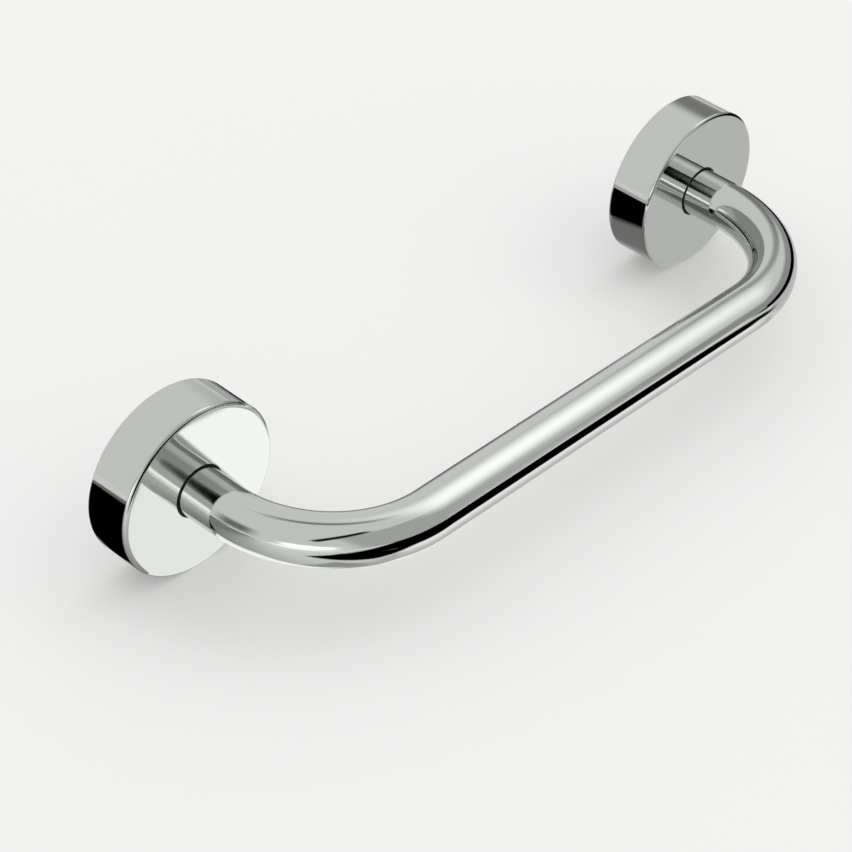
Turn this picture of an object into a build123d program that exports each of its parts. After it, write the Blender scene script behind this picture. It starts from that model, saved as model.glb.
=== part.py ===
from build123d import *
import os

# A wall-mounted grab bar: a bent tube carried at each end by a round rose that locks over a wall plate.
# X runs along the bar, the wall is the plane Y = 0 with the room on -Y, and Z is up.
# The origin lies on the wall, midway between the two roses. Sizes are in millimetres.

# Tube
centre_distance = 300.0  # between the two rose axes
tube_diameter = 21.3
tube_wall = 1.6
bend_radius = 54.0  # on the tube's centre line
leg_length = 14.85  # straight tube between the rose's face and the bend

# Rose
rose_diameter = 75.0
rose_depth = 20.5
rose_rim_wall = 4.5
rose_face_thickness = 7.5
front_edge_width = 2.2  # the front rounding, seen from the front
front_edge_height = 1.2  # the front rounding, seen from the side
back_edge_radius = 0.8
cavity_corner_radius = 2.0
boss_wall = 4.3  # boss behind the face, round the tube's socket
boss_height = 3.5
boss_root_radius = 1.5
boss_edge_radius = 0.8
tube_socket_depth = 5.0

# Seal ring
seal_width = 0.8
seal_thickness = 1.5
seal_stand_out = 0.1  # how far the ring stands out of the rose's face
seal_edge_radius = 0.1

# Tube plug
plug_to_bend = 4.0  # the plug stops this far short of the bend
plug_chamfer = 1.0

# Clamp screw and its washer
clamp_screw_diameter = 8.0
clamp_screw_length = 20.0  # below the head
clamp_tip_chamfer = 1.0
clamp_head_diameter = 14.0
clamp_head_height = 4.4
clamp_head_band = 0.8  # straight band under the domed top
clamp_head_crown = 1.0  # flat round the hexagon
clamp_hex_width = 5.0
clamp_hex_depth = 2.6
washer_diameter = 16.0
washer_thickness = 1.6
washer_chamfer = 0.4

# Wall plate
plate_thickness = 4.0
collar_wall = 4.0
collar_gap = 2.0  # between the collar's front and the inside of the rose's face
collar_chamfer = 0.8
collar_root_chamfer = 1.5
clamp_head_room = 5.0  # round the clamp screw's head, in the plate's middle opening
wall_screw_hole = 5.5
wall_screw_circle = 42.0
wall_screw_count = 3

# Set screw and the groove it locks in
set_screw_diameter = 5.0
set_screw_recess = 0.5  # below the rim's surface
set_screw_flat = 0.6  # width of the flat at its point
set_screw_hex_width = 2.5
set_screw_hex_depth = 1.6
groove_depth = 1.0
groove_to_collar_front = 4.0

# Clearances between pieces
slip_clearance = 0.05  # tube, plug, seal ring and threads in their seats
washer_clearance = 0.25  # washer and boss hole round the clamp screw
plate_clearance = 0.2  # collar inside the rose
point_clearance = 0.1  # set screw's point above the groove's bottom

# Heights from the wall and radii from each rose's axis
tube_radius = tube_diameter / 2
rose_radius = rose_diameter / 2
bar_height = rose_depth + leg_length + bend_radius
socket_floor = rose_depth - tube_socket_depth
socket_radius = tube_radius + slip_clearance
seal_seat = rose_depth + seal_stand_out - seal_thickness
seal_inner_radius = tube_radius + slip_clearance
seal_radius = seal_inner_radius + seal_width
cavity_radius = rose_radius - rose_rim_wall
cavity_depth = rose_depth - rose_face_thickness
boss_radius = socket_radius + boss_wall
boss_back = cavity_depth - boss_height
head_seat = boss_back - washer_thickness
plate_radius = cavity_radius - plate_clearance
collar_inner_radius = plate_radius - collar_wall
collar_height = cavity_depth - collar_gap
plate_opening_radius = clamp_head_diameter / 2 + clamp_head_room
groove_height = collar_height - groove_to_collar_front
point_radius = plate_radius - groove_depth + point_clearance


def at(radius, height):
    """A point of a half section: distance from the rose's axis and height above the wall."""
    return (radius, -height)


def turned(*corners):
    """A turned piece about the rose's axis, from the corners of its half section."""
    section = make_face(Polyline(*[at(*corner) for corner in corners], close=True))
    return revolve(section, Axis.Y)


def hex_socket(width, depth):
    """A hexagonal recess that runs up Z from the XY plane."""
    return extrude(RegularPolygon(width / 2, 6, major_radius=False), depth)


def grip_tube():
    """The tube: two legs that stand in the roses' sockets, two bends and the straight grip."""
    half = centre_distance / 2
    path = FilletPolyline(
        (-half, -socket_floor, 0),
        (-half, -bar_height, 0),
        (half, -bar_height, 0),
        (half, -socket_floor, 0),
        radius=bend_radius,
    )
    ring = Circle(tube_radius) - Circle(tube_radius - tube_wall)
    return sweep(Plane(path @ 0, z_dir=path % 0) * ring, path)


def rose():
    """The round cover: mirror face with a soft edge, tube socket with a seat for the seal, hollow back."""
    screw_hole_radius = clamp_screw_diameter / 2 + washer_clearance
    inside = [
        (at(rose_radius, rose_depth - front_edge_height), 0),
        (at(rose_radius, 0), back_edge_radius),
        (at(cavity_radius, 0), back_edge_radius),
        (at(cavity_radius, cavity_depth), cavity_corner_radius),
        (at(boss_radius, cavity_depth), boss_root_radius),
        (at(boss_radius, boss_back), boss_edge_radius),
        (at(screw_hole_radius, boss_back), 0),
        (at(screw_hole_radius, socket_floor), 0),
        (at(socket_radius, socket_floor), 0),
        (at(socket_radius, seal_seat), 0),
        (at(seal_radius + slip_clearance, seal_seat), 0),
        (at(seal_radius + slip_clearance, rose_depth), 0),
        (at(rose_radius - front_edge_width, rose_depth), 0),
    ]
    points = [point for point, _ in inside]
    corner_radii = [radius for _, radius in inside[1:-1]]
    front_edge = EllipticalCenterArc(
        at(rose_radius - front_edge_width, rose_depth - front_edge_height),
        front_edge_width,
        front_edge_height,
        start_angle=270,
        arc_size=90,
    )
    section = make_face([*FilletPolyline(*points, radius=corner_radii).edges(), front_edge])
    set_screw_hole = Cylinder(set_screw_diameter / 2 + slip_clearance, 2 * rose_rim_wall)
    hole_place = Pos(0, -groove_height, -(rose_radius + cavity_radius) / 2)
    return revolve(section, Axis.Y) - hole_place * set_screw_hole


def seal_ring():
    """The black ring that closes the gap between the tube and the rose's face."""
    ring = turned(
        (seal_inner_radius, seal_seat),
        (seal_radius, seal_seat),
        (seal_radius, seal_seat + seal_thickness),
        (seal_inner_radius, seal_seat + seal_thickness),
    )
    front_edges = ring.edges().group_by(Axis.Y)[0]
    return fillet(front_edges, seal_edge_radius)


def tube_plug():
    """The threaded plug in the tube's end, flush with the socket's floor."""
    outer = tube_radius - tube_wall - slip_clearance
    bore = clamp_screw_diameter / 2 + slip_clearance
    top = rose_depth + leg_length - plug_to_bend
    return turned(
        (bore, socket_floor),
        (outer, socket_floor),
        (outer, top - plug_chamfer),
        (outer - plug_chamfer, top),
        (bore, top),
    )


def clamp_screw():
    """The domed hexagon-socket screw that pulls the tube into its socket."""
    shank = clamp_screw_diameter / 2
    tip = head_seat + clamp_screw_length
    head = clamp_head_diameter / 2
    head_top = head_seat - clamp_head_height
    crown = clamp_hex_width / 2 + clamp_head_crown
    outline = Polyline(
        at(crown, head_top),
        at(0, head_top),
        at(0, tip),
        at(shank - clamp_tip_chamfer, tip),
        at(shank, tip - clamp_tip_chamfer),
        at(shank, head_seat),
        at(head, head_seat),
        at(head, head_seat - clamp_head_band),
    )
    dome = EllipticalCenterArc(
        at(crown, head_seat - clamp_head_band),
        head - crown,
        clamp_head_height - clamp_head_band,
        start_angle=0,
        arc_size=90,
    )
    section = make_face([*outline.edges(), dome])
    socket = Pos(0, -head_top, 0) * Rot(90, 0, 0) * hex_socket(clamp_hex_width, clamp_hex_depth)
    return revolve(section, Axis.Y) - socket


def clamp_washer():
    """The plain washer between the clamp screw's head and the rose's boss."""
    bore = clamp_screw_diameter / 2 + washer_clearance
    outer = washer_diameter / 2
    return turned(
        (bore, head_seat),
        (outer - washer_chamfer, head_seat),
        (outer, head_seat + washer_chamfer),
        (outer, boss_back),
        (bore, boss_back),
    )


def wall_plate():
    """The round wall plate: a base with screw holes and a collar with a groove for the set screw."""
    plate = turned(
        (plate_opening_radius, 0),
        (plate_radius, 0),
        (plate_radius, groove_height - groove_depth),
        (plate_radius - groove_depth, groove_height),
        (plate_radius, groove_height + groove_depth),
        (plate_radius, collar_height - collar_chamfer),
        (plate_radius - collar_chamfer, collar_height),
        (collar_inner_radius, collar_height),
        (collar_inner_radius, plate_thickness + collar_root_chamfer),
        (collar_inner_radius - collar_root_chamfer, plate_thickness),
        (plate_opening_radius, plate_thickness),
    )
    first_hole = 90
    holes = PolarLocations(wall_screw_circle / 2, wall_screw_count, start_angle=first_hole)
    hole = Cylinder(wall_screw_hole / 2, 2 * plate_thickness)
    return plate - Rot(90, 0, 0) * holes * hole


def set_screw():
    """The grub screw in the rim's underside, its cone point in the plate's groove."""
    shank = set_screw_diameter / 2
    flat = set_screw_flat / 2
    outer_end = rose_radius - set_screw_recess
    section = make_face(
        Polyline(
            (0, -outer_end),
            (shank, -outer_end),
            (shank, -(point_radius + shank)),
            (flat, -(point_radius + flat)),
            (0, -(point_radius + flat)),
            close=True,
        )
    )
    body = revolve(Plane.XZ * section, Axis.Z)
    socket = Pos(0, 0, -outer_end) * hex_socket(set_screw_hex_width, set_screw_hex_depth)
    return Pos(0, -groove_height, 0) * (body - socket)


def main():
    """Write the tube and both ends' pieces, one file for each."""
    os.makedirs("parts", exist_ok=True)
    export_step(grip_tube(), "parts/grip_tube.step")
    end_pieces = {
        "rose": rose(),
        "seal_ring": seal_ring(),
        "tube_plug": tube_plug(),
        "clamp_screw": clamp_screw(),
        "clamp_washer": clamp_washer(),
        "wall_plate": wall_plate(),
        "set_screw": set_screw(),
    }
    ends = {"left": -centre_distance / 2, "right": centre_distance / 2}
    for side, x in ends.items():
        for name, piece in end_pieces.items():
            export_step(Pos(x, 0, 0) * piece, f"parts/{side}_{name}.step")


main()
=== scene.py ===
import logging
import math
from dataclasses import dataclass, field
from enum import Enum
from functools import cached_property
from typing import Any, Sequence

import bmesh
import bpy
import numpy as np
from bpy.types import ID, Material, Mesh, Node, NodeSocket, NodeTree, Object
from mathutils import Matrix, Vector


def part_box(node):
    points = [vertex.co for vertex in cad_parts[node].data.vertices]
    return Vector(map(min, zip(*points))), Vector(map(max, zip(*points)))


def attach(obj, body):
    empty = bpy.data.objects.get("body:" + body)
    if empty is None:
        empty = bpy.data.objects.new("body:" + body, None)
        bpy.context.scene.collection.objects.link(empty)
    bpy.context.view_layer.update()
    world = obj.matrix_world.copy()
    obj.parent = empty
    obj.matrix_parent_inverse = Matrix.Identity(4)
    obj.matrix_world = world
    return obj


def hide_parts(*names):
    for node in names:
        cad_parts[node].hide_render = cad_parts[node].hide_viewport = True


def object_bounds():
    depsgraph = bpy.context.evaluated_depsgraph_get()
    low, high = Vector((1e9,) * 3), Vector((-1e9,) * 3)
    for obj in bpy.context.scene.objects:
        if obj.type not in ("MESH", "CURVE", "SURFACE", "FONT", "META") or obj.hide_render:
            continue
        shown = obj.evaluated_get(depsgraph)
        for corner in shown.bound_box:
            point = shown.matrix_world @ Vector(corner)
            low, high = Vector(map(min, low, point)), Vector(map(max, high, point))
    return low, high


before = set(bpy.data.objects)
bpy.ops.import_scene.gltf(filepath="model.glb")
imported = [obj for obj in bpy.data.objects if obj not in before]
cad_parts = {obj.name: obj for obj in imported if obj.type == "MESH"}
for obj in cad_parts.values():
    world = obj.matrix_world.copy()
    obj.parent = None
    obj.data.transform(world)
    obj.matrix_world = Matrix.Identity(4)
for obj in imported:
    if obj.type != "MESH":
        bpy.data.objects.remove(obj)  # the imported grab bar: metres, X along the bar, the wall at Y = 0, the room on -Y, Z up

CAD_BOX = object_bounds()
MM = 0.001
FULL_TURN = 2 * math.pi
BODY = "root"
MERGE_STEP = 0.0005 * MM  # points of a piece that round to the same multiple of this become one
ON_WALL = 0.001 * MM  # rows of a section this near to a thread's radius are cut by it
WAVE_SCALE = FULL_TURN / 20  # a wave texture of scale 1 repeats 20 times in a full turn's length
MIX_FIRST, MIX_SECOND, MIX_RESULT = 6, 7, 2  # a Mix node's colour sockets, whose names its others share
LOG = logging.getLogger("grab_bar")


class Side(Enum):
    """The two ends of the bar, by the first word of their nodes' names."""

    LEFT = "left"
    RIGHT = "right"


class Axis(Enum):
    """The axis that a turned piece's heights are counted along, by its letter."""

    FROM_WALL = "Y"
    UPWARD = "Z"


# Colour and node helpers


def linear(hex_colour: str) -> tuple[float, float, float, float]:
    """Turn an sRGB hex colour into linear RGBA, by the sRGB curve.

    Args:
        hex_colour: Colour as "#RRGGBB".

    Returns:
        Linear red, green, blue and an alpha of 1.
    """
    channels = [int(hex_colour[i : i + 2], 16) / 255 for i in (1, 3, 5)]
    red, green, blue = (c / 12.92 if c <= 0.04045 else ((c + 0.055) / 1.055) ** 2.4 for c in channels)
    return red, green, blue, 1.0


def add_node(
    tree: NodeTree, kind: str, inputs: dict[str | int, Any] | None = None, **settings: Any
) -> Node:
    """Add a node, set its properties, and set or link its inputs.

    Args:
        tree: Node tree that gets the node.
        kind: Blender's name of the node type.
        inputs: Input name or number to a value, or to an output socket to link from.
        **settings: Properties of the node itself.

    Returns:
        The new node.
    """
    node = tree.nodes.new(kind)
    for name, value in settings.items():
        setattr(node, name, value)
    for name, value in (inputs or {}).items():
        if isinstance(value, NodeSocket):
            tree.links.new(value, node.inputs[name])
        else:
            node.inputs[name].default_value = value
    return node


def add_object(name: str, data: ID) -> Object:
    """Put an object into the scene, at the origin.

    Args:
        name: Name of the object.
        data: Its mesh or camera.

    Returns:
        The object.
    """
    thing = bpy.data.objects.new(name, data)
    bpy.context.scene.collection.objects.link(thing)
    return thing


# Finishes


class Pattern(Enum):
    """Kinds of texture, by Blender's names of the node types."""

    NOISE = "ShaderNodeTexNoise"
    CELLS = "ShaderNodeTexVoronoi"
    BANDS = "ShaderNodeTexWave"


@dataclass(frozen=True)
class Texture:
    """A procedural texture in Object coordinates."""

    pattern: Pattern
    size: float  # width of one cell of the pattern, in metres
    inputs: dict[str, float] = field(default_factory=dict)
    settings: dict[str, str] = field(default_factory=dict)
    channel: str | None = None  # the channel that counts, where the cells differ by colour

    def add(self, tree: NodeTree) -> NodeSocket:
        """Add the texture to a material.

        Args:
            tree: Node tree of the material.

        Returns:
            The output that gives the texture's value.
        """
        place = add_node(tree, "ShaderNodeTexCoord").outputs["Object"]
        inputs = {"Vector": place, "Scale": 1 / self.size, **self.inputs}
        texture = add_node(tree, self.pattern.value, inputs, **self.settings)
        if self.channel is None:
            return texture.outputs["Fac"]
        channels = add_node(tree, "ShaderNodeSeparateColor", {"Color": texture.outputs["Color"]})
        return channels.outputs[self.channel]


@dataclass(frozen=True)
class Finish:
    """A surface finish: a shader whose roughness, relief and colour can follow textures."""

    name: str  # the real material, and how its surface was made
    slot: str  # material slot of the record
    colour: str
    metallic: float
    roughness: float
    gloss: float = 0.5  # strength of the reflection of what isn't metal
    haze: Texture | None = None  # drives the roughness
    haze_span: tuple[float, float] = (0.0, 1.0)  # values of the haze at the roughness limits
    haze_limits: tuple[float, float] = (0.0, 1.0)
    relief: Texture | None = None  # drives the bump
    relief_height: float = 0.0
    relief_strength: float = 1.0
    mottle: Texture | None = None  # drives the colour
    mottle_colour: str = "#FFFFFF"  # colour at the mottle's high end

    @cached_property
    def material(self) -> Material:
        """Make the node material, once for all pieces that have the finish.

        Returns:
            The material.
        """
        material = bpy.data.materials.new(self.name)
        material.use_nodes = True
        material.diffuse_color = linear(self.colour)
        tree = material.node_tree
        inputs = tree.nodes["Principled BSDF"].inputs
        inputs["Base Color"].default_value = linear(self.colour)
        inputs["Metallic"].default_value = self.metallic
        inputs["Roughness"].default_value = self.roughness
        inputs["Specular IOR Level"].default_value = self.gloss
        if self.haze is not None:
            (start, end), (low, high) = self.haze_span, self.haze_limits
            spread = {"From Min": start, "From Max": end, "To Min": low, "To Max": high}
            rough = add_node(tree, "ShaderNodeMapRange", {"Value": self.haze.add(tree), **spread})
            tree.links.new(rough.outputs["Result"], inputs["Roughness"])
        if self.relief is not None:
            marks = {"Distance": self.relief_height, "Strength": self.relief_strength}
            bump = add_node(tree, "ShaderNodeBump", {"Height": self.relief.add(tree), **marks})
            tree.links.new(bump.outputs["Normal"], inputs["Normal"])
        if self.mottle is not None:
            colours = {MIX_FIRST: linear(self.colour), MIX_SECOND: linear(self.mottle_colour)}
            share = {"Factor": self.mottle.add(tree)}
            mix = add_node(tree, "ShaderNodeMix", share | colours, data_type="RGBA")
            tree.links.new(mix.outputs[MIX_RESULT], inputs["Base Color"])
        return material


def turned_metal(name: str, slot: str, colour: str, roughness: float, pitch: float, axis: Axis) -> Finish:
    """Set up bare metal from the lathe: fine tool marks round the axis, which catch the light.

    Args:
        name: Name of the material.
        slot: Material slot of the record.
        colour: sRGB hex colour.
        roughness: Typical roughness.
        pitch: Spacing of the tool marks, coarser than real ones so that they show.
        axis: Axis that the piece was turned about.

    Returns:
        The finish.
    """
    bands = {"wave_type": "BANDS", "bands_direction": axis.value}
    marks = Texture(Pattern.BANDS, pitch / WAVE_SCALE, {"Distortion": 1.5, "Detail": 2.0}, bands)
    return Finish(
        name,
        slot,
        colour,
        metallic=1.0,
        roughness=roughness,
        haze=marks,
        haze_limits=(0.2, 0.36),
        relief=marks,
        relief_height=0.004 * MM,
        relief_strength=0.5,
    )


# Bright chrome plate on polished brass: a cool mirror, whose reflections waver a little with the buffing
# wheel's ripple and blur a little in clouds of duller polish.
CHROME = Finish(
    "polished_chrome_plate",
    "chrome",
    "#CED1CD",
    metallic=1.0,
    roughness=0.045,
    haze=Texture(Pattern.NOISE, 9 * MM, {"Detail": 3.0}),
    haze_span=(0.3, 0.7),  # noise seldom leaves these
    haze_limits=(0.03, 0.06),
    relief=Texture(Pattern.NOISE, 5 * MM, {"Detail": 1.0}),
    relief_height=0.004 * MM,
)
# Moulded black nitrile rubber: a soft black with a fine matt grain and a trace of grey bloom.
GRAIN = Texture(Pattern.NOISE, 0.35 * MM, {"Detail": 2.0})
RUBBER = Finish(
    "moulded_nitrile_rubber",
    "seal_rubber",
    "#060606",
    metallic=0.0,
    roughness=0.6,
    gloss=0.2,
    relief=GRAIN,
    relief_height=0.02 * MM,
    relief_strength=0.6,
    mottle=GRAIN,
    mottle_colour="#101011",
)
# Pressed steel with zinc plating: a cool, dull grey, softly mottled by the crystals' own tone and gloss.
CRYSTAL = (Pattern.CELLS, 2.2 * MM, {}, {"feature": "SMOOTH_F1"})
ZINC = Finish(
    "zinc_plated_steel",
    "plate_zinc",
    "#B9BEC2",
    metallic=1.0,
    roughness=0.36,
    haze=Texture(*CRYSTAL, channel="Green"),
    haze_limits=(0.26, 0.46),
    mottle=Texture(*CRYSTAL, channel="Red"),
    mottle_colour="#A3A9AE",
)
# Turned steel and brass: warm grey, a darker grey and yellow, with rings of light about each piece's axis.
STAINLESS = turned_metal("turned_stainless_steel", "stainless", "#C4C2BD", 0.28, 0.5 * MM, Axis.FROM_WALL)
GRUB_STEEL = turned_metal("turned_grub_screw_steel", "stainless", "#B4B3B0", 0.3, 0.4 * MM, Axis.UPWARD)
BRASS = turned_metal("turned_brass", "plug_brass", "#D9B765", 0.28, 0.5 * MM, Axis.FROM_WALL)


# Surfaces


@dataclass(frozen=True)
class Corner:
    """One corner of a turned half section, with its rounding."""

    radius: float
    height: float
    ease_in: float = 0.08 * MM  # length of the side before it that the rounding takes
    ease_out: float = 0.08 * MM  # length of the side after it that the rounding takes
    stops: np.ndarray | None = None  # extra points on the side after it, as rows of radius and height


def eased_section(corners: Sequence[Corner], samples: int = 9, support: float = 0.15 * MM) -> np.ndarray:
    """Close a half section, with a rounding at each corner.

    A corner P1 becomes the rational quadratic from P0 to P2, the points where its rounding starts and
    ends: ((1-t)^2 P0 + 2 w t (1-t) P1 + t^2 P2) / ((1-t)^2 + 2 w t (1-t) + t^2), with w the cosine of half
    the turn. That is a circle's arc where both eased lengths are equal, and an ellipse's where they differ.
    A support point beyond each end of the arc keeps the straight side flat in the shading.

    Args:
        corners: Corners in order round the section.
        samples: Points on each rounding.
        support: Distance of the support points from the rounding.

    Returns:
        Rows of radius and height, round the section once.
    """
    points = np.array([(corner.radius, corner.height) for corner in corners])
    ease_in = np.array([corner.ease_in for corner in corners])
    ease_out = np.array([corner.ease_out for corner in corners])
    after = np.roll(points, -1, axis=0) - points
    length = np.linalg.norm(after, axis=1)
    after = after / length[:, None]
    before = -np.roll(after, 1, axis=0)
    straight = length - ease_out - np.roll(ease_in, -1)
    reach = np.minimum(support, straight / 3)  # so that both support points of a short side fit on it
    start = points + before * ease_in[:, None]
    end = points + after * ease_out[:, None]
    weight = np.sqrt(np.clip((1 - (before * after).sum(axis=1)) / 2, 0, 1))[:, None, None]
    t = np.linspace(0, 1, samples)[None, :, None]
    first, middle, last = (1 - t) ** 2, 2 * weight * t * (1 - t), t**2
    arcs = first * start[:, None] + middle * points[:, None] + last * end[:, None]
    arcs = arcs / (first + middle + last)
    lead = start + before * np.roll(reach, 1)[:, None]
    trail = end + after * reach[:, None]
    blocks = []
    for i, corner in enumerate(corners):
        blocks += [lead[i : i + 1], arcs[i], trail[i : i + 1]]
        if corner.stops is not None:
            blocks.append(corner.stops)
    return np.concatenate(blocks)


def stops_about(middle: tuple[float, float], reach: tuple[float, float], cells: int) -> np.ndarray:
    """Even rows of radius and height through a point of a section, from minus to plus its reach."""
    return np.array(middle) + np.linspace(-1, 1, cells + 1)[:, None] * np.array(reach)


def even_angles(count: int) -> np.ndarray:
    """Angles of a full turn in even steps, in radians."""
    return np.linspace(0, FULL_TURN, count, endpoint=False)


def columns(centres: Sequence[float], half_width: float, fine_cells: int, coarse_cells: int) -> np.ndarray:
    """Share out the angles of a full turn, finer about some directions.

    Args:
        centres: Directions in radians, rising, that get finer columns.
        half_width: Half the angle of each fine stretch, in radians.
        fine_cells: Columns across each fine stretch.
        coarse_cells: Columns between two fine stretches.

    Returns:
        Rising angles over one turn, the first at the start of the first fine stretch.
    """
    following = [*centres[1:], centres[0] + FULL_TURN]
    stretches = []
    for centre, after in zip(centres, following):
        low, high = centre - half_width, centre + half_width
        stretches.append(np.linspace(low, high, fine_cells, endpoint=False))
        stretches.append(np.linspace(high, after - half_width, coarse_cells, endpoint=False))
    return np.concatenate(stretches)


@dataclass(frozen=True)
class Thread:
    """A right-hand screw thread in a straight wall of a turned section."""

    wall: float  # radius of the wall that it is cut into
    low: float  # height at which it starts
    high: float  # height at which it ends
    pitch: float
    depth: float  # negative in a bore
    crest: float = 0.12  # share of the pitch that is flat at the crest
    flanks: float = 0.7  # share of the pitch that both flanks take
    rows_per_turn: int = 14

    def stops(self) -> np.ndarray:
        """Rows of radius and height that the thread needs on its wall, rising."""
        rows = int((self.high - self.low) / self.pitch * self.rows_per_turn) + 1
        return np.linspace((self.wall, self.low), (self.wall, self.high), rows)

    def shape(self, radius: np.ndarray, section: np.ndarray, angles: np.ndarray) -> np.ndarray:
        """Cut the thread into a turned section.

        The cut is the depth times a triangle wave of height / pitch - angle / full turn, made flat at crest
        and root, so that its ridge climbs one pitch in each turn. It runs out over a pitch at each end.

        Args:
            radius: Radii so far, rows by one column or by a column for each angle.
            section: Rows of radius and height.
            angles: Angles round the axis, in radians.

        Returns:
            New radii, rows by columns, changed only on the thread's wall.
        """
        wall, height = section[:, :1], section[:, 1:]
        phase = (height / self.pitch - angles / FULL_TURN) % 1.0
        wave = np.clip((1 - np.abs(2 * phase - 1) - self.crest) / self.flanks, 0, 1)
        run_out = np.clip(np.minimum(height - self.low, self.high - height) / self.pitch, 0, 1)
        return radius - self.depth * wave * run_out * (np.abs(wall - self.wall) < ON_WALL)


@dataclass(frozen=True)
class HexSocket:
    """A hexagonal recess for a key in a screw's end."""

    end: float  # height of the screw's end, from which the recess goes in with rising height
    width: float  # over its flats
    depth: float
    lead: float  # width of the chamfer round its mouth
    rim: float  # radius at which the end is round again

    def corners(self) -> list[Corner]:
        """Find the corners of its half section, from the middle of the floor to the chamfer's outer side.

        Returns:
            The four corners in order.
        """
        half, floor = self.width / 2, self.end + self.depth
        mouth = Corner(half + self.lead, self.end, 0, 0)
        return [Corner(0, floor, 0, 0), Corner(half, floor), Corner(half, self.end + self.lead, 0, 0), mouth]

    def shape(self, radius: np.ndarray, section: np.ndarray, angles: np.ndarray) -> np.ndarray:
        """Turn the recess from round to hexagonal.

        A hexagon's side lies at half its width / cos(angle from the nearest flat). The radii are multiplied
        by that over the half width within the mouth, less so up to the rim, and by 1 beyond the floor.

        Args:
            radius: Radii so far, rows by one column or by a column for each angle.
            section: Rows of radius and height.
            angles: Angles round the axis, in radians.

        Returns:
            New radii, rows by columns.
        """
        sixth = FULL_TURN / 6
        hexagon = 1 / np.cos(angles % sixth - sixth / 2)
        mouth = self.width / 2 + self.lead
        share = np.clip((self.rim - section[:, :1]) / (self.rim - mouth), 0, 1)
        share = share * (section[:, 1:] <= self.end + self.depth)
        return radius * (1 + share * (hexagon - 1))


def grid_quads(index: np.ndarray, close_rows: bool = True, close_columns: bool = True) -> np.ndarray:
    """Join the points of a grid into four-sided faces.

    Args:
        index: Point numbers, rows by columns.
        close_rows: Whether the last row joins the first.
        close_columns: Whether the last column joins the first.

    Returns:
        Faces as rows by columns by four point numbers.
    """
    right = np.roll(index, -1, axis=1)
    down = np.roll(index, -1, axis=0)
    quads = np.stack([index, right, np.roll(right, -1, axis=0), down], axis=-1)
    rows = index.shape[0] if close_rows else index.shape[0] - 1
    cells = index.shape[1] if close_columns else index.shape[1] - 1
    return quads[:rows, :cells]


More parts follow.
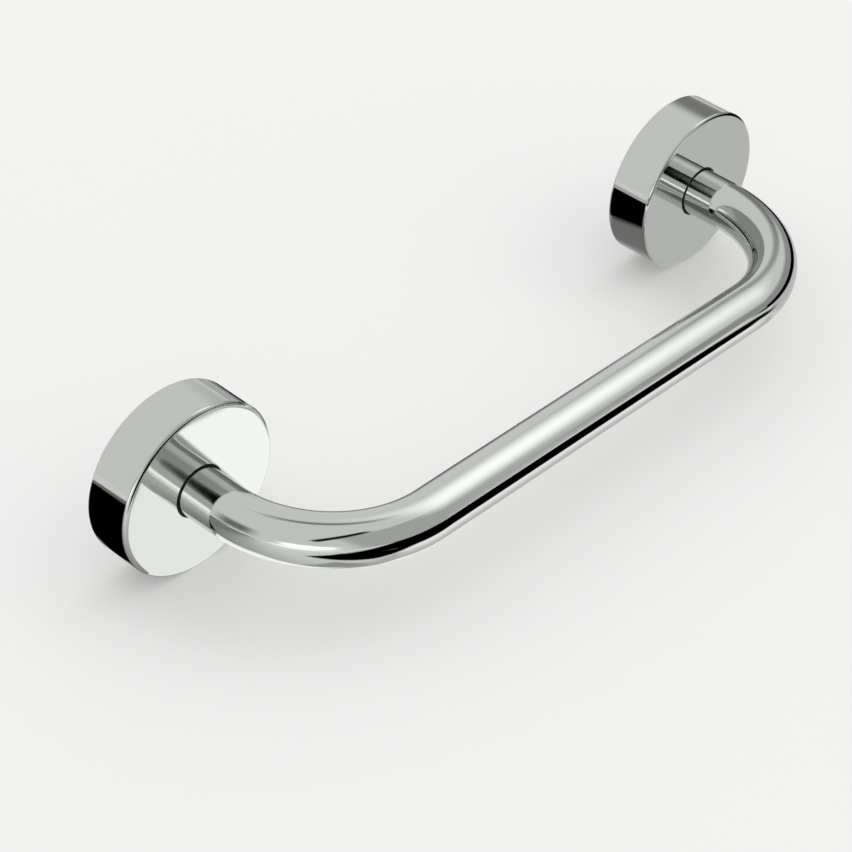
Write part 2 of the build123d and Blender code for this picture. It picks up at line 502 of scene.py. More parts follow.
class Shell:
    """A closed surface on a grid, which holes can be let into and which ends as a mesh object."""

    def __init__(self, grid: np.ndarray) -> None:
        """Number the grid's points and join them.

        Args:
            grid: Points as rows, columns and coordinates; rows and columns both go right round.
        """
        self.index = np.arange(grid.shape[0] * grid.shape[1]).reshape(grid.shape[:2])
        self.points = grid.reshape(-1, 3)
        self.quads = grid_quads(self.index)
        self.kept = np.ones(self.quads.shape[:2], dtype=bool)
        self.added: list[np.ndarray] = []

    @classmethod
    def turned(
        cls,
        section: np.ndarray,
        angles: np.ndarray,
        centre: Vector,
        cuts: Sequence[Thread | HexSocket] = (),
        axis: Axis = Axis.FROM_WALL,
    ) -> "Shell":
        """Turn a half section about an axis through centre.

        A point is centre + radius (cos(angle) u + sin(angle) v) + height w. From the wall, u, v and w are
        X, Z and -Y. Upward, they are X, Y and Z.

        Args:
            section: Rows of radius and height.
            angles: Angles round the axis, in radians.
            centre: Point of the axis at height 0.
            cuts: What reshapes the radii, in order.
            axis: Direction of the axis.

        Returns:
            The shell, with rows along the section and columns round the axis.
        """
        radius = section[:, :1]
        for cut in cuts:
            radius = cut.shape(radius, section, angles)
        across, beside = radius * np.cos(angles), radius * np.sin(angles)
        along = np.broadcast_to(section[:, 1:], across.shape)
        if axis is Axis.FROM_WALL:
            beside, along = -along, beside
        return cls(np.stack([centre.x + across, centre.y + beside, centre.z + along], axis=-1))

    def open_walls(self, section: np.ndarray, walls: Sequence[np.ndarray], column: int) -> list[np.ndarray]:
        """Take a square block of faces out of each of two facing walls.

        Args:
            section: Rows of radius and height that the shell was turned from.
            walls: Rows of both walls across the blocks, the second wall's in the opposite order.
            column: First column of the blocks.

        Returns:
            Point numbers once round each opening, in the same order.
        """
        edges = []
        for stops, step in zip(walls, (1, -1)):
            row = int(np.argmin(np.linalg.norm(section - stops[0], axis=1)))
            cells = len(stops) - 1
            self.kept[row : row + cells, column : column + cells] = False
            block = self.index[row : row + cells + 1, column : column + cells + 1][::step]
            edges.append(np.concatenate([block[0, :-1], block[:-1, -1], block[-1, :0:-1], block[:0:-1, 0]]))
        return edges

    def line_hole(self, front: np.ndarray, rings: Sequence[np.ndarray], back: np.ndarray) -> None:
        """Join the edges of two openings through the rings of a hole.

        Args:
            front: Point numbers round the first opening.
            rings: Points of each ring on the way, as many as the edge has.
            back: Point numbers round the second opening.
        """
        chain = [front]
        for ring in rings:
            chain.append(len(self.points) + np.arange(len(ring)))
            self.points = np.concatenate([self.points, ring])
        chain.append(back)
        self.added.append(grid_quads(np.stack(chain), close_rows=False).reshape(-1, 4))

    def mesh(self, name: str, sharp_angle: float) -> Mesh:
        """Make the mesh, smooth shaded.

        Points that fall together are merged, faces that this flattens lose a corner or go, and all faces
        are turned outwards.

        Args:
            name: Name of the mesh.
            sharp_angle: Angle between faces, in degrees, past which their edge stays sharp.

        Returns:
            The mesh.
        """
        rounded = np.round(self.points / MERGE_STEP).astype(np.int64)
        _, first, merged = np.unique(rounded, axis=0, return_index=True, return_inverse=True)
        faces = np.concatenate([self.quads[self.kept].reshape(-1, 4), *self.added])
        faces = merged.reshape(-1)[faces]
        kept = faces != np.roll(faces, -1, axis=1)
        corners = kept.sum(axis=1)
        four = faces[corners == 4]
        three = faces[corners == 3][kept[corners == 3]].reshape(-1, 3)
        mesh = bpy.data.meshes.new(name)
        mesh.from_pydata(self.points[first].tolist(), [], four.tolist() + three.tolist())
        shell = bmesh.new()
        shell.from_mesh(mesh)
        bmesh.ops.recalc_face_normals(shell, faces=shell.faces)
        shell.to_mesh(mesh)
        shell.free()
        mesh.shade_smooth()
        mesh.set_sharp_from_angle(angle=math.radians(sharp_angle))
        return mesh

    def place(self, name: str, node: str, finish: Finish, sharp_angle: float = 35.0) -> None:
        """Make the piece, dress it, put it in its node's stead and let it ride on the bar.

        Args:
            name: Name of the piece.
            node: CAD node that it stands for.
            finish: Finish of the piece.
            sharp_angle: Angle between faces, in degrees, past which their edge stays sharp.
        """
        piece = add_object(name, self.mesh(name, sharp_angle))
        piece.data.materials.append(finish.material)
        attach(piece, BODY)
        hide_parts(node)
        LOG.info("%s stands for %s, %d faces", piece.name, node, len(piece.data.polygons))


def box_sizes(node: str) -> tuple[float, float, float, float]:
    """Read a turned node's axis and reach from its box.

    Args:
        node: CAD node whose axis runs along Y.

    Returns:
        X of its axis, its outer radius, and its lowest and highest height above the wall.
    """
    low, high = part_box(node)
    return (low.x + high.x) / 2, (high.x - low.x) / 2, -high.y, -low.y


# The bar's own pieces; their heights are counted from the wall, and all sizes are in metres


@dataclass(frozen=True)
class GripTube:
    """The bent tube: two legs, two bends and the straight grip."""

    left_x: float  # of the left leg's axis
    right_x: float  # of the right leg's axis
    radius: float
    start: float  # height of the tube's ends
    reach: float  # height of the straight grip's axis
    wall: float = 1.6 * MM
    bend_radius: float = 54 * MM  # on the centre line
    bend_rows: int = 96
    straight_rows: int = 14
    around: int = 144

    @classmethod
    def from_frame(cls) -> "GripTube":
        """Read the tube's sizes from its node's box.

        Returns:
            The tube.
        """
        low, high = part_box("grip_tube")
        radius = (high.z - low.z) / 2
        return cls(low.x + radius, high.x - radius, radius, -high.y, -low.y - radius)

    def centre_line(self) -> tuple[np.ndarray, np.ndarray]:
        """Work out the tube's centre line: straight runs joined by quarter circles.

        Returns:
            Points as rows of x and height, and the unit normals there, to the left of the way.
        """
        bend, quarter = self.bend_radius, math.pi / 2
        turn = np.linspace(0, quarter, self.bend_rows)
        run = np.linspace(0, 1, self.straight_rows)
        top = self.reach - bend
        leg = self.start + run[:-1] * (top - self.start)
        left, right = self.left_x + bend, self.right_x - bend
        grip = left + run[1:-1] * (right - left)
        ones = np.ones_like(leg)
        stretches = [  # x, height and heading of each
            (ones * self.left_x, leg, ones * quarter),
            (left - bend * np.cos(turn), top + bend * np.sin(turn), quarter - turn),
            (grip, np.full_like(grip, self.reach), np.zeros_like(grip)),
            (right + bend * np.sin(turn), top + bend * np.cos(turn), -turn),
            (ones * self.right_x, leg[::-1], ones * -quarter),
        ]
        x, height, heading = (np.concatenate(values) for values in zip(*stretches))
        return np.stack([x, height], axis=-1), np.stack([-np.sin(heading), np.cos(heading)], axis=-1)

    def grid(self) -> np.ndarray:
        """Carry a circle along the centre line, out along the outside and back along the bore.

        A point is c + r (cos(angle) n + sin(angle) z), with c and n the centre line's point and normal, z
        the upward direction, and r the outer radius on the way out and the bore's on the way back.

        Returns:
            Points as rows along the tube, columns round it and coordinates.
        """
        line, normal = self.centre_line()
        angles = even_angles(self.around)
        radius = np.repeat([self.radius, self.radius - self.wall], len(line))[:, None]
        line = np.concatenate([line, line[::-1]])
        normal = np.concatenate([normal, normal[::-1]])
        across = radius * np.cos(angles)
        x = line[:, :1] + across * normal[:, :1]
        height = line[:, 1:] + across * normal[:, 1:]
        return np.stack([x, -height, radius * np.sin(angles)], axis=-1)

    def build(self) -> None:
        """Make the tube."""
        Shell(self.grid()).place("chromed_grip_tube", "grip_tube", CHROME)


@dataclass(frozen=True)
class EndPart:
    """What the sub-assemblies at an end of the bar have in common."""

    side: Side
    centre: Vector  # point of the rose's axis on the wall

    def place(self, shell: Shell, name: str, node: str, finish: Finish, **options: float) -> None:
        """Put a shell in the stead of one of this side's nodes, both named after the side."""
        shell.place(f"{self.side.value}_{name}", f"{self.side.value}_{node}", finish, **options)


@dataclass(frozen=True)
class Rose(EndPart):
    """A round cover with a mirror face, a soft front edge and a hollow back, and its black seal ring."""

    radius: float
    depth: float  # height of the face
    lock_height: float  # height of the set screw's axis
    seal_radius: float
    seal_seat: float  # height of the seal ring's seat
    seal_top: float  # height of the seal ring's front
    tube_end: float  # height of the floor of the tube's socket
    tube_radius: float
    rim_wall: float = 4.5 * MM
    face_thickness: float = 7.5 * MM
    front_edge_width: float = 2.2 * MM  # the front rounding, seen from the front
    front_edge_height: float = 1.2 * MM  # the front rounding, seen from the side
    back_edge: float = 0.8 * MM  # rounding of the rim's back edges
    cavity_corner: float = 2 * MM
    boss_wall: float = 4.3 * MM  # boss inside the hollow, round the tube's socket
    boss_height: float = 3.5 * MM
    boss_root: float = 1.5 * MM
    boss_edge: float = 0.8 * MM
    screw_hole: float = 4.25 * MM  # radius of the clamp screw's hole
    slip: float = 0.05 * MM  # clearance round the tube and the seal ring
    seal_edge: float = 0.1 * MM
    lock_hole: float = 2.55 * MM  # radius of the set screw's hole
    lock_edge: float = 0.25 * MM  # width of the chamfer round that hole
    patch_half: float = 3.6 * MM  # half the side of the patch of faces round that hole
    patch_cells: int = 14
    around: int = 210  # columns beside the patch
    samples: int = 13  # points on each rounding

    @classmethod
    def from_frame(cls, side: Side) -> "Rose":
        """Read the rose's sizes from its node's box and its neighbours'.

        Args:
            side: End of the bar.

        Returns:
            The rose at that end.
        """
        x, radius, _, depth = box_sizes(f"{side.value}_rose")
        _, *seal = box_sizes(f"{side.value}_seal_ring")
        _, _, lock_low, lock_high = box_sizes(f"{side.value}_set_screw")
        tube = GripTube.from_frame()
        lock_height = (lock_low + lock_high) / 2
        return cls(side, Vector((x, 0, 0)), radius, depth, lock_height, *seal, tube.start, tube.radius)

    def lock_rows(self) -> list[np.ndarray]:
        """Rows of the section across the set screw's hole, down the rim's outside and up its inside."""
        walls = ((self.radius, -self.patch_half), (self.radius - self.rim_wall, self.patch_half))
        return [stops_about((wall, self.lock_height), (0, half), self.patch_cells) for wall, half in walls]

    def section(self) -> np.ndarray:
        """Draw the half section of the rose: face, rim, hollow, boss, tube socket and seal seat.

        Returns:
            Rows of radius and height, round the section once.
        """
        inner = self.radius - self.rim_wall
        floor = self.depth - self.face_thickness
        socket = self.tube_radius + self.slip
        boss = socket + self.boss_wall
        boss_back = floor - self.boss_height
        seat = self.seal_radius + self.slip
        outside, inside = self.lock_rows()
        corners = [
            Corner(seat, self.depth),
            Corner(self.radius, self.depth, self.front_edge_width, self.front_edge_height, outside),
            Corner(self.radius, 0, self.back_edge, self.back_edge),
            Corner(inner, 0, self.back_edge, self.back_edge, inside),
            Corner(inner, floor, self.cavity_corner, self.cavity_corner),
            Corner(boss, floor, self.boss_root, self.boss_root),
            Corner(boss, boss_back, self.boss_edge, self.boss_edge),
            Corner(self.screw_hole, boss_back),
            Corner(self.screw_hole, self.tube_end),
            Corner(socket, self.tube_end),
            Corner(socket, self.seal_seat),
            Corner(seat, self.seal_seat),
        ]
        return eased_section(corners, self.samples)

    def hole_ring(self, edge: np.ndarray, wall: float, hole: float, sunk: float) -> np.ndarray:
        """Find a ring of the set screw's hole where it meets a round wall.

        Each point lies in the direction of its edge point from the hole's axis, at the ring's radius, and
        on the wall: z = -sqrt(R^2 - x^2), moved inwards by the depth that the ring is sunk.

        Args:
            edge: Points round the patch.
            wall: Radius of the round wall.
            hole: Radius of the ring.
            sunk: Depth of the ring inside the wall's surface.

        Returns:
            Points of the ring, one for each edge point.
        """
        across = edge[:, 0] - self.centre.x
        along = edge[:, 1] + self.lock_height
        scale = hole / np.hypot(across, along)
        x = across * scale
        z = sunk - np.sqrt(wall**2 - x**2)
        return np.stack([self.centre.x + x, along * scale - self.lock_height, z], axis=-1)

    def build_cover(self) -> None:
        """Make the rose, with the set screw's hole let into its rim from below."""
        section = self.section()
        half_angle = math.asin(self.patch_half / self.radius)
        angles = columns([-math.pi / 2], half_angle, self.patch_cells, self.around)
        shell = Shell.turned(section, angles, self.centre)
        outside, inside = shell.open_walls(section, self.lock_rows(), 0)
        rings = (
            (self.radius, self.lock_hole + self.lock_edge, 0.0),
            (self.radius, self.lock_hole, self.lock_edge),
            (self.radius - self.rim_wall, self.lock_hole, 0.0),
        )
        edge = shell.points[outside]
        shell.line_hole(outside, [self.hole_ring(edge, *ring) for ring in rings], inside)
        self.place(shell, "chromed_rose", "rose", CHROME)

    def build_seal(self) -> None:
        """Make the black ring that stands a little out of the face."""
        inside = self.tube_radius + self.slip
        corners = [
            Corner(inside, self.seal_seat),
            Corner(self.seal_radius, self.seal_seat),
            Corner(self.seal_radius, self.seal_top, self.seal_edge, self.seal_edge),
            Corner(inside, self.seal_top, self.seal_edge, self.seal_edge),
        ]
        shell = Shell.turned(eased_section(corners), even_angles(self.around), self.centre)
        self.place(shell, "rubber_seal", "seal_ring", RUBBER)

    def build(self) -> None:
        """Make the cover and its seal."""
        self.build_cover()
        self.build_seal()


@dataclass(frozen=True)
class TubeClamp(EndPart):
    """What pulls the tube into its rose: a threaded plug in the tube, a domed screw and its washer."""

    plug_radius: float
    plug_low: float  # height of the plug's end at the rose
    plug_high: float  # height of the plug's end in the tube
    head_radius: float
    head_top: float  # height of the head's top, which faces the wall
    tip: float  # height of the screw's tip
    washer_radius: float
    seat: float  # height of the washer's side under the head
    washer_top: float  # height of the washer's side at the rose
    plug_bore: float = 4.05 * MM  # radius
    plug_chamfer: float = 1 * MM
    shank: float = 4 * MM  # radius
    tip_chamfer: float = 1 * MM
    crown: float = 3.5 * MM  # radius of the flat on the head's top
    band: float = 0.8 * MM  # height of the straight band under the dome
    band_edge: float = 0.2 * MM
    key_width: float = 5 * MM  # of the hexagon, over its flats
    key_depth: float = 2.6 * MM
    key_lead: float = 0.2 * MM
    washer_bore: float = 4.25 * MM  # radius
    washer_chamfer: float = 0.4 * MM
    pitch: float = 1.25 * MM
    thread_depth: float = 0.65 * MM
    thread_gap: float = 0.5 * MM  # plain stretch at each end of a thread
    around: int = 96  # columns round each piece, a multiple of six for the hexagon's corners
    samples: int = 15  # points on each rounding of the screw

    @classmethod
    def from_frame(cls, side: Side) -> "TubeClamp":
        """Read the clamp's sizes from its nodes' boxes.

        Args:
            side: End of the bar.

        Returns:
            The clamp at that end.
        """
        x, *plug = box_sizes(f"{side.value}_tube_plug")
        _, *screw = box_sizes(f"{side.value}_clamp_screw")
        _, *washer = box_sizes(f"{side.value}_clamp_washer")
        return cls(side, Vector((x, 0, 0)), *plug, *screw, *washer)

    def build_plug(self) -> None:
        """Make the plug, with its thread cut outwards from the bore."""
        low, high = self.plug_low + self.thread_gap, self.plug_high - self.thread_gap
        thread = Thread(self.plug_bore, low, high, self.pitch, -self.thread_depth)
        corners = [
            Corner(self.plug_bore, self.plug_low),
            Corner(self.plug_radius, self.plug_low),
            Corner(self.plug_radius, self.plug_high - self.plug_chamfer),
            Corner(self.plug_radius - self.plug_chamfer, self.plug_high),
            Corner(self.plug_bore, self.plug_high, stops=thread.stops()[::-1]),
        ]
        shell = Shell.turned(eased_section(corners), even_angles(self.around), self.centre, [thread])
        self.place(shell, "brass_plug", "tube_plug", BRASS)

    def build_screw(self) -> None:
        """Make the domed screw: hexagon, elliptical dome, band, threaded shank and chamfered tip."""
        socket = HexSocket(self.head_top, self.key_width, self.key_depth, self.key_lead, self.crown)
        shoulder = self.tip - self.tip_chamfer
        low, high = self.seat + self.thread_gap, shoulder - self.thread_gap
        thread = Thread(self.shank, low, high, self.pitch, self.thread_depth)
        dome_width = self.head_radius - self.crown
        dome_height = self.seat - self.band - self.head_top
        corners = [
            *socket.corners(),
            Corner(self.head_radius, self.head_top, dome_width, dome_height),
            Corner(self.head_radius, self.seat, self.band_edge, self.band_edge),
            Corner(self.shank, self.seat, stops=thread.stops()),
            Corner(self.shank, shoulder),
            Corner(self.shank - self.tip_chamfer, self.tip),
            Corner(0, self.tip, 0, 0),
        ]
        section = eased_section(corners, self.samples)
        shell = Shell.turned(section, even_angles(self.around), self.centre, [socket, thread])
        self.place(shell, "steel_clamp_screw", "clamp_screw", STAINLESS)

    def build_washer(self) -> None:
        """Make the plain washer, chamfered on the head's side."""
        corners = [
            Corner(self.washer_bore, self.seat),
            Corner(self.washer_radius - self.washer_chamfer, self.seat),
            Corner(self.washer_radius, self.seat + self.washer_chamfer),
            Corner(self.washer_radius, self.washer_top),
            Corner(self.washer_bore, self.washer_top),
        ]
        shell = Shell.turned(eased_section(corners), even_angles(self.around), self.centre)
        self.place(shell, "steel_washer", "clamp_washer", STAINLESS)

    def build(self) -> None:
        """Make the plug, the screw and the washer."""
        self.build_plug()
        self.build_screw()
        self.build_washer()


@dataclass(frozen=True)
class WallLock(EndPart):
    """What holds the rose to the wall: a plate with a grooved collar, and the set screw in that groove."""

    radius: float  # of the plate
    height: float  # of the collar's front
    lock_height: float  # height of the set screw's axis
    screw_radius: float
    screw_end: float  # Z of the set screw's outer end
    screw_point: float  # Z of the set screw's point
    opening: float = 12 * MM  # radius of the plate's middle opening
    base: float = 4 * MM  # thickness of the plate
    collar_wall: float = 4 * MM
    collar_chamfer: float = 0.8 * MM
    root_chamfer: float = 1.5 * MM  # inside the collar's root
    groove: float = 1 * MM
    hole: float = 2.75 * MM  # radius of the wall screws' holes
    hole_edge: float = 0.3 * MM  # chamfer of those holes
    hole_circle: float = 21 * MM  # radius of the circle that they lie on
    hole_angles: tuple[float, ...] = (90, 210, 330)
    patch_half: float = 4.2 * MM  # half the side of the patch of faces round each hole
    patch_cells: int = 14
    between_cells: int = 42
    plate_samples: int = 5  # points on each of the plate's edges
    plate_sharp: float = 30.0  # degrees past which the plate's edges stay sharp
    point_flat: float = 0.3 * MM  # radius of the flat at the set screw's point
    screw_chamfer: float = 0.3 * MM
    key_width: float = 2.5 * MM  # of the set screw's hexagon, over its flats
    key_depth: float = 1.6 * MM
    key_lead: float = 0.12 * MM
    pitch: float = 0.8 * MM
    thread_depth: float = 0.38 * MM
    thread_gap: float = 0.25 * MM  # plain stretch at each end of the thread
    support: float = 0.05 * MM  # distance of the support points beside the set screw's edges
    around: int = 72  # columns round the set screw, a multiple of six for the hexagon's corners

    @classmethod
    def from_frame(cls, side: Side) -> "WallLock":
        """Read the lock's sizes from its nodes' boxes.

        Args:
            side: End of the bar.

        Returns:
            The lock at that end.
        """
        x, radius, _, height = box_sizes(f"{side.value}_wall_plate")
        _, screw_radius, low, high = box_sizes(f"{side.value}_set_screw")
        ends = [corner.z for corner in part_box(f"{side.value}_set_screw")]
        return cls(side, Vector((x, 0, 0)), radius, height, (low + high) / 2, screw_radius, *ends)

    def hole_rows(self) -> list[np.ndarray]:
        """Rows of the section across the wall screws' holes, out along the back and in along the front."""
        walls = ((0, self.patch_half), (self.base, -self.patch_half))
        return [stops_about((self.hole_circle, wall), (half, 0), self.patch_cells) for wall, half in walls]

    def plate_section(self) -> np.ndarray:
        """Draw the half section of the plate: base, grooved collar and chamfered root.

        Returns:
            Rows of radius and height, round the section once.
        """
        inner = self.radius - self.collar_wall
        back, front = self.hole_rows()
        corners = [
            Corner(self.opening, 0, stops=back),
            Corner(self.radius, 0),
            Corner(self.radius, self.lock_height - self.groove),
            Corner(self.radius - self.groove, self.lock_height),
            Corner(self.radius, self.lock_height + self.groove),
            Corner(self.radius, self.height - self.collar_chamfer),
            Corner(self.radius - self.collar_chamfer, self.height),
            Corner(inner, self.height),
            Corner(inner, self.base + self.root_chamfer),
            Corner(inner - self.root_chamfer, self.base, stops=front),
            Corner(self.opening, self.base),
        ]
        return eased_section(corners, self.plate_samples)

    def hole_rings(self, edge: np.ndarray, middle: np.ndarray) -> list[np.ndarray]:
        """Find the rings of a wall screw's hole, from the wall's side to the front.

        Each point lies in the direction of its edge point from the hole's axis, at its ring's radius.

        Args:
            edge: Points round the patch.
            middle: Point of the hole's axis on the wall.

        Returns:
            Points of each ring, one for each edge point.
        """
        away = (edge - middle) * np.array([1, 0, 1])
        away = away / np.linalg.norm(away, axis=1, keepdims=True)
        wide, edge_height = self.hole + self.hole_edge, self.base - self.hole_edge
        steps = ((wide, 0.0), (self.hole, self.hole_edge), (self.hole, edge_height), (wide, self.base))
        return [middle + away * radius - np.array([0, height, 0]) for radius, height in steps]

    def build_plate(self) -> None:
        """Make the plate, with its three screw holes."""
        section = self.plate_section()
        turns = [math.radians(angle) for angle in self.hole_angles]
        half_angle = math.asin(self.patch_half / self.hole_circle)
        angles = columns(turns, half_angle, self.patch_cells, self.between_cells)
        shell = Shell.turned(section, angles, self.centre)
        for order, turn in enumerate(turns):
            column = order * (self.patch_cells + self.between_cells)
            back, front = shell.open_walls(section, self.hole_rows(), column)
            across = np.array([math.cos(turn), 0, math.sin(turn)])
            middle = np.array(self.centre) + self.hole_circle * across
            shell.line_hole(back, self.hole_rings(shell.points[back], middle), front)
        self.place(shell, "zinc_wall_plate", "wall_plate", ZINC, sharp_angle=self.plate_sharp)

    def build_set_screw(self) -> None:
        """Make the set screw: hexagon below, threaded shank, and a cone point in the groove."""
        radius = self.screw_radius
        rim = radius - self.screw_chamfer
        socket = HexSocket(self.screw_end, self.key_width, self.key_depth, self.key_lead, rim)
        shoulder = self.screw_point - (radius - self.point_flat)
        body = self.screw_end + self.screw_chamfer
        low, high = body + self.thread_gap, shoulder - self.thread_gap
        thread = Thread(radius, low, high, self.pitch, self.thread_depth)
        corners = [
            *socket.corners(),
            Corner(rim, self.screw_end),
            Corner(radius, body, stops=thread.stops()),
            Corner(radius, shoulder),
            Corner(self.point_flat, self.screw_point),
            Corner(0, self.screw_point, 0, 0),
        ]
        section = eased_section(corners, support=self.support)
        centre = self.centre - Vector((0, self.lock_height, 0))
        shell = Shell.turned(section, even_angles(self.around), centre, [socket, thread], Axis.UPWARD)
        self.place(shell, "steel_set_screw", "set_screw", GRUB_STEEL)

    def build(self) -> None:
        """Make the plate and the set screw."""
        self.build_plate()
        self.build_set_screw()


# The studio


def compass(azimuth: float, elevation: float) -> Vector:
    """Find the unit vector towards a direction.

    Args:
        azimuth: 0 in front of the bar and 90 on its right, in degrees.
        elevation: Angle above the horizon, in degrees.

    Returns:
        The vector from the bar.
    """
    around, above = math.radians(azimuth), math.radians(elevation)
    flat = math.cos(above)
    return Vector((math.sin(around) * flat, -math.cos(around) * flat, math.sin(above)))


def blank_material(name: str) -> Material:
    """Make a material with an empty node tree.

    Args:
        name: Name of the material.

    Returns:
        The material.
    """
    material = bpy.data.materials.new(name)
    material.use_nodes = True
    material.node_tree.nodes.clear()
    return material


class Seen(Enum):
    """What a studio card does: light the scene, or only show in mirrors."""

    AS_LIGHT = "as_light"
    IN_MIRRORS = "in_mirrors"


@dataclass(frozen=True)
class StudioCard:
    """A card that lights the bar or shows in its reflections, and that the camera doesn't see."""

    name: str
    corners: tuple[tuple[float, float, float], ...]  # four, in order
    strength: float  # light that it gives, 1 for white and 0 for black
    feather: tuple[float, float]  # shares of its width and height over which it fades out at each edge
    seen: Seen
    cells: int = 16  # faces along each side

    @classmethod
    def facing(
        cls,
        name: str,
        direction: tuple[float, float],
        size: tuple[float, float],
        strength: float,
        feather: tuple[float, float],
        seen: Seen = Seen.IN_MIRRORS,
        turn: float = 0.0,
        distance: float = 3.0,
    ) -> "StudioCard":
        """Set up a card that faces the bar from a direction.

        Args:
            name: Name of the card.
            direction: Azimuth and elevation, in degrees.
            size: Width and height as the bar sees them, in degrees.
            strength: Light that it gives.
            feather: Shares of its width and height that fade out.
            seen: Whether it lights the scene.
            turn: Turn about the line to the bar, in degrees.
            distance: Distance from the origin.

        Returns:
            The card.
        """
        out = compass(*direction)
        right = compass(direction[0] + 90, 0)
        up = right.cross(-out)
        tilt = math.radians(turn)
        wide = right * math.cos(tilt) + up * math.sin(tilt)
        high = up * math.cos(tilt) - right * math.sin(tilt)
        wide = wide * distance * math.tan(math.radians(size[0] / 2))
        high = high * distance * math.tan(math.radians(size[1] / 2))
        middle = out * distance
        corners = (middle - wide - high, middle + wide - high, middle + wide + high, middle - wide + high)
        return cls(name, tuple(tuple(corner) for corner in corners), strength, feather, seen)

    @classmethod
    def on_floor(
        cls, name: str, strength: float, feather: tuple[float, float], *plan: tuple[float, float]
    ) -> "StudioCard":
        """Set up a sheet that lies on the floor and only shows in mirrors.

        Args:
            name: Name of the sheet.
            strength: Light that it gives.
            feather: Shares of its width and length that fade out.
            *plan: X and Y of its four corners in order, in mm.

        Returns:
            The sheet as a card.
        """
        level = CAD_BOX[0].z
        return cls(name, tuple((x * MM, y * MM, level) for x, y in plan), strength, feather, Seen.IN_MIRRORS)

    def material(self) -> Material:
        """Make the card's material: light that fades to nothing towards the edges.

        Returns:
            The material.
        """
        material = blank_material(self.name)
        tree = material.node_tree
        place = add_node(tree, "ShaderNodeUVMap").outputs["UV"]
        split = add_node(tree, "ShaderNodeSeparateXYZ", {"Vector": place})
        fades = []
        for direction, share in zip("XY", self.feather):
            both = {0: split.outputs[direction], 1: 0.5}  # runs up to the middle and down again
            inward = add_node(tree, "ShaderNodeMath", both, operation="PINGPONG")
            span = {"Value": inward.outputs[0], "From Max": share}
            fade = add_node(tree, "ShaderNodeMapRange", span, interpolation_type="SMOOTHSTEP")
            fades.append(fade.outputs["Result"])
        cover = add_node(tree, "ShaderNodeMath", {0: fades[0], 1: fades[1]}, operation="MULTIPLY")
        clear = add_node(tree, "ShaderNodeBsdfTransparent")
        light = add_node(tree, "ShaderNodeEmission", {"Strength": self.strength})
        shaders = {0: cover.outputs[0], 1: clear.outputs[0], 2: light.outputs[0]}
        mix = add_node(tree, "ShaderNodeMixShader", shaders)
        add_node(tree, "ShaderNodeOutputMaterial", {"Surface": mix.outputs[0]})
        return material

    def build(self, lift: float) -> None:
        """Make the card as the bilinear surface between its corners, with its two parameters as UV.

        A point is (1-u)(1-v) A + u(1-v) B + uv C + (1-u)v D, for u and v from 0 to 1.

        Args:
            lift: Height by which the card is raised, so that two sheets don't share a place.
        """
        steps = np.linspace(0, 1, self.cells + 1)
        u, v = np.meshgrid(steps, steps)
        weights = np.stack([(1 - u) * (1 - v), u * (1 - v), u * v, (1 - u) * v], axis=-1).reshape(-1, 4)
        points = weights @ np.array(self.corners) + np.array([0, 0, lift])
        index = np.arange(len(points)).reshape(u.shape)
        faces = grid_quads(index, close_rows=False, close_columns=False).reshape(-1, 4)
        mesh = bpy.data.meshes.new(self.name)
        mesh.from_pydata(points.tolist(), [], faces.tolist())
        layer = mesh.uv_layers.new(name="UVMap")
        at_corners = np.stack([u.reshape(-1), v.reshape(-1)], axis=-1)[faces.reshape(-1)]
        layer.data.foreach_set("uv", at_corners.astype(np.float32).reshape(-1))
        mesh.materials.append(self.material())
        card = add_object(self.name, mesh)
        card.visible_camera = False
        card.visible_shadow = False
        card.visible_diffuse = self.seen is Seen.AS_LIGHT
        LOG.info("studio card %s", self.name)


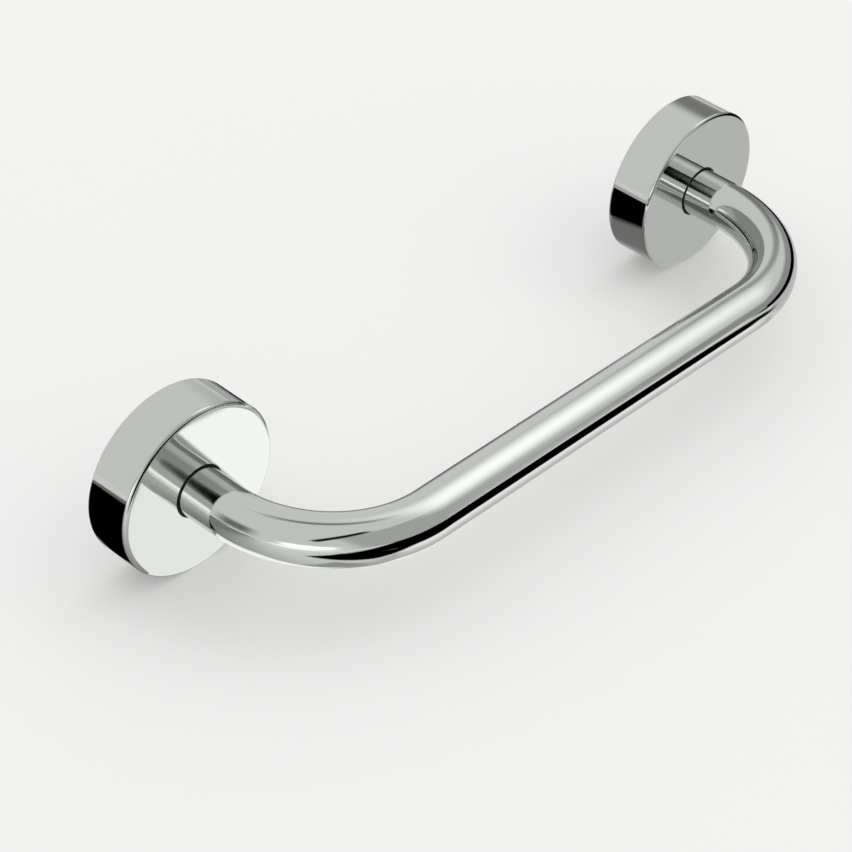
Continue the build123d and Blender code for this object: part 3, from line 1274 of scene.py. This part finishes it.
@dataclass(frozen=True)
class Studio:
    """A pale floor, an even grey room, two soft boxes, and panels and sheets for the chrome to reflect, some
    sheets being painted shade and painted light on the floor.
    """

    room_grey: float = 0.82  # light of the room in all directions, 1 for white
    floor_colour: str = "#F4F4F3"
    floor_glow: float = 0.12  # light that the floor adds towards the camera and in reflections
    floor_half: float = 4.0  # half the floor's side
    sheet_lift: float = 0.02 * MM  # height of each card above the one before it

    def floor_material(self) -> Material:
        """Make the floor's material: matt, and paler where the camera or a mirror sees it.

        Returns:
            The material.
        """
        material = blank_material("pale_matt_floor")
        tree = material.node_tree
        path = add_node(tree, "ShaderNodeLightPath").outputs
        rays = {0: path["Is Camera Ray"], 1: path["Is Glossy Ray"]}
        seen = add_node(tree, "ShaderNodeMath", rays, operation="ADD").outputs[0]
        glow = add_node(tree, "ShaderNodeMath", {0: seen, 1: self.floor_glow}, operation="MULTIPLY")
        colour = linear(self.floor_colour)
        matt = add_node(tree, "ShaderNodeBsdfDiffuse", {"Color": colour})
        light = add_node(tree, "ShaderNodeEmission", {"Color": colour, "Strength": glow.outputs[0]})
        both = add_node(tree, "ShaderNodeAddShader", {0: matt.outputs[0], 1: light.outputs[0]})
        add_node(tree, "ShaderNodeOutputMaterial", {"Surface": both.outputs[0]})
        return material

    def build_floor(self) -> None:
        """Make the floor just under the lowest sheet."""
        half = self.floor_half
        level = CAD_BOX[0].z - self.sheet_lift
        mesh = bpy.data.meshes.new("pale_floor")
        corners = [(-half, -half, level), (half, -half, level), (half, half, level), (-half, half, level)]
        mesh.from_pydata(corners, [], [(0, 1, 2, 3)])
        mesh.materials.append(self.floor_material())
        add_object("pale_floor", mesh)
        LOG.info("floor at %.1f mm", level / MM)

    def build_room(self) -> None:
        """Give the room its even grey light."""
        world = bpy.data.worlds.new("grey_room")
        world.use_nodes = True
        background = world.node_tree.nodes["Background"]
        background.inputs["Color"].default_value = (1.0, 1.0, 1.0, 1.0)
        background.inputs["Strength"].default_value = self.room_grey
        bpy.context.scene.world = world

    def cards(self) -> list[StudioCard]:
        """Set up the soft boxes, the panels in the room, and the sheets, each over those before it.

        Returns:
            The cards in order.
        """
        panel, sheet, light = StudioCard.facing, StudioCard.on_floor, Seen.AS_LIGHT
        near_left = ((-215, -75), (-290, -480), (-1900, -1200), (-1500, -150))
        near_front = ((-110, -141), (140, -139), (175, -170), (-140, -190))
        far_front = ((-235, -166), (210, -144), (1530, -3800), (-400, -3900))
        far_right = ((330, -360), (310, 50), (3800, 1800), (3600, -3900))
        return [
            panel("right_soft_box", (75, 53), (78, 43), 1.55, (0.5, 0.5), light, turn=20),
            panel("left_soft_box", (-57, 5), (43, 18), 2.0, (0.3, 0.35), light),
            panel("camera_shade", (-39, 47), (10, 48), 0.0, (0.35, 0.15), turn=-43),
            panel("front_dim_panel", (5, 27), (78, 62), 0.53, (0.2, 0.05), distance=3.2),
            panel("right_low_panel", (78, 11), (88, 32), 0.38, (0.15, 0.3), distance=3.3),
            panel("left_dim_panel", (-103, 13), (36, 36), 0.2, (0.4, 0.4)),
            panel("right_dim_panel", (118, 18), (27, 54), 0.25, (0.45, 0.35)),
            panel("top_dim_panel", (142, 77), (43, 16), 0.26, (0.45, 0.4)),
            panel("low_black_card", (81, 1), (74, 7), 0.0, (0.04, 0.25)),
            sheet("back_grey_sheet", 0.52, (0.08, 0.01), (-290, 110), (900, 60), (2600, 3900), (-900, 3900)),
            sheet("back_dim_sheet", 0.27, (0.1, 0.15), (-20, 10), (180, 10), (190, 135), (-40, 135)),
            # painted shade: the floor to the right, darker where less light falls on it, seen only in the
            # chrome
            sheet("right_grey_sheet", 0.68, (0.05, 0.05), (120, -12), (420, -15), (560, -460), (150, -145)),
            # a grey patch of floor to the left; next to the near rose it is painted shade at the rose's foot,
            # seen only in the chrome
            sheet("left_grey_sheet", 0.26, (0.02, 0.4), (-172, 160), (-700, 170), (-700, -100), (-140, -95)),
            # painted light: a glowing patch of floor, brighter than white, that lights nothing and shows only
            # in the chrome
            sheet("left_white_sheet", 1.55, (0.2, 0.25), *near_left),
            sheet("leg_shade", 0.4, (0.15, 0.1), (-138, -15), (-105, -15), (-95, -100), (-160, -105)),
            # painted light: glow laid over the floor's shade in front of the near rose, seen only in the
            # chrome
            sheet("near_white_sheet", 1.22, (0.03, 0.03), (-175, -20), (-130, -18), (-125, -80), (-165, -52)),
            # painted light: glow laid over the floor's shade that the near rose's face mirrors
            sheet("face_white_sheet", 1.42, (0.04, 0.06), (-110, -19), (-58, -19), (-55, -86), (-103, -91)),
            # painted shade: the floor's shade under the grip, seen only in the chrome
            sheet("bar_grey_sheet", 0.58, (0.04, 0.1), (-134, -88), (134, -66), (150, -125), (-120, -125)),
            # painted light: glow laid over the floor's shade in front of the grip, seen only in the chrome
            sheet("bar_white_sheet", 1.2, (0.06, 0.5), (-120, -92), (133, -92), (165, -185), (-120, -185)),
            sheet("front_black_sheet", 0.0, (0.09, 0.002), *far_front),
            sheet("front_black_wedge", 0.0, (0.02, 0.15), *near_front),
            sheet("bend_black_wedge", 0.0, (0.09, 0.1), (-200, -98), (-127, -113), (-82, -155), (-220, -195)),
            sheet("right_black_sheet", 0.0, (0.03, 0.02), *far_right),
            sheet("inner_dark_sheet", 0.22, (0.09, 0.08), (-47, -56), (120, -70), (140, 14), (-50, 52)),
            sheet("far_black_band", 0.0, (0.03, 0.06), (102, 15), (90, 0), (-140, 76), (-105, 136)),
            sheet("near_dark_band", 0.19, (0.2, 0.08), (-330, 70), (-300, 170), (-1500, 570), (-1700, 330)),
            sheet("near_black_band", 0.0, (0.06, 0.02), (-182, -21), (-169, 4), (-355, 185), (-425, 130)),
        ]

    def build(self) -> None:
        """Make the floor, the room and all cards."""
        self.build_floor()
        self.build_room()
        for order, card in enumerate(self.cards()):
            card.build(order * self.sheet_lift)


@dataclass(frozen=True)
class PhotoCamera:
    """The camera of the photograph: a long lens from the left, the front and above."""

    aim: Vector = field(default_factory=lambda: Vector((-0.0202, -0.0175, -0.0422)))  # middle of the frame
    distance: float = 1.06  # from the aim
    azimuth: float = -48.57
    elevation: float = 38.89
    roll: float = 3.43  # degrees about its own line of sight
    focal_pixels: float = 2540.0
    frame_pixels: float = 852.0  # side of the photograph
    sensor: float = 36.0  # width in mm

    def build(self) -> None:
        """Make the camera and give it to the scene."""
        back = compass(self.azimuth, self.elevation)
        data = bpy.data.cameras.new("photo_camera")
        data.sensor_width = self.sensor
        data.lens = self.sensor * self.focal_pixels / self.frame_pixels
        camera = add_object("photo_camera", data)
        turn = (-back).to_track_quat("-Z", "Y").to_matrix().to_4x4()
        roll = Matrix.Rotation(math.radians(self.roll), 4, "Z")
        camera.matrix_world = Matrix.Translation(self.aim + back * self.distance) @ turn @ roll
        bpy.context.scene.camera = camera
        LOG.info("camera with a %.0f mm lens", data.lens)


def main() -> None:
    """Build the bar's pieces, the studio and the camera in order."""
    GripTube.from_frame().build()
    for side in Side:
        for assembly in (Rose, TubeClamp, WallLock):
            assembly.from_frame(side).build()
    Studio().build()
    PhotoCamera().build()
    bpy.context.scene.view_settings.view_transform = "Standard"


if __name__ == "__main__":
    logging.basicConfig(level=logging.INFO, format="%(name)s: %(message)s")
    main()
